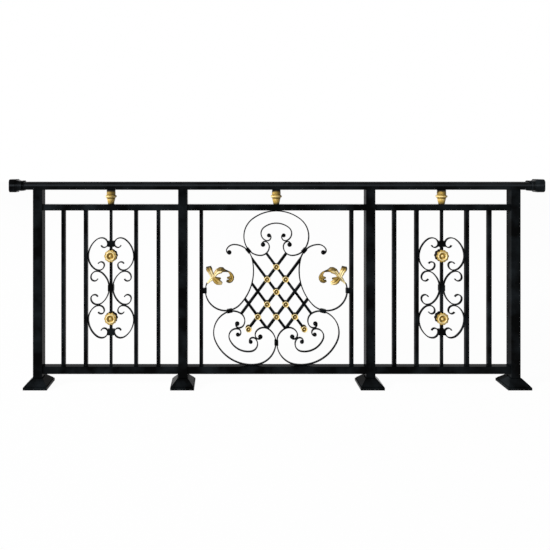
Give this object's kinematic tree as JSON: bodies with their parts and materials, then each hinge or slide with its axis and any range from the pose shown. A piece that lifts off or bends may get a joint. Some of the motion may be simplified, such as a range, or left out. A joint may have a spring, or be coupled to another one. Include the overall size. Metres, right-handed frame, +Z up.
{
  "type": "steel railing panel",
  "caption": "Black steel balcony railing panel: tube posts, rails and pickets with scrollwork, a beaded lattice and gilded rosettes, leaves and spacers.",
  "frame": {"origin": "centre of the underside of the left end post's foot plate", "axes": "+X along the panel to the right as seen from the front, +Y away from the viewer, +Z up"},
  "size_m": [2.868, 0.127, 1.1165],
  "materials": {
    "black_coat": "satin black powder coat",
    "gold_paint": "gold paint with a brown patina"
  },
  "bodies": {
    "root": {"bar_collars_left": "black_coat", "bar_collars_right": "black_coat", "centre_bar_left": "black_coat", "centre_bar_right": "black_coat", "crown_inner_scroll": "black_coat", "crown_scroll": "black_coat", "flank_scroll_left": "black_coat", "flank_scroll_right": "black_coat", "foot_cover_left_end": "black_coat", "foot_cover_left_inner": "black_coat", "foot_cover_right_end": "black_coat", "foot_cover_right_inner": "black_coat", "foot_inner_scroll_left": "black_coat", "foot_inner_scroll_right": "black_coat", "foot_plates": "black_coat", "foot_scroll_left": "black_coat", "foot_scroll_right": "black_coat", "handrail": "black_coat", "lattice": "black_coat", "lattice_beads": "gold_paint", "leaf_left": "gold_paint", "leaf_right": "gold_paint", "lower_rail_centre": "black_coat", "lower_rail_left": "black_coat", "lower_rail_right": "black_coat", "middle_scrolls_left": "black_coat", "middle_scrolls_right": "black_coat", "outer_scrolls_left": "black_coat", "outer_scrolls_right": "black_coat", "pickets_centre": "black_coat", "pickets_left": "black_coat", "pickets_right": "black_coat", "post_left_end": "black_coat", "post_left_inner": "black_coat", "post_right_end": "black_coat", "post_right_inner": "black_coat", "rosettes_left": "gold_paint", "rosettes_right": "gold_paint", "scroll_collars": "black_coat", "spacer_centre": "gold_paint", "spacer_left": "gold_paint", "spacer_right": "gold_paint", "upper_rail_centre": "black_coat", "upper_rail_left": "black_coat", "upper_rail_right": "black_coat", "wall_end_left": "black_coat", "wall_end_right": "black_coat"}
  },
  "joints": []
}
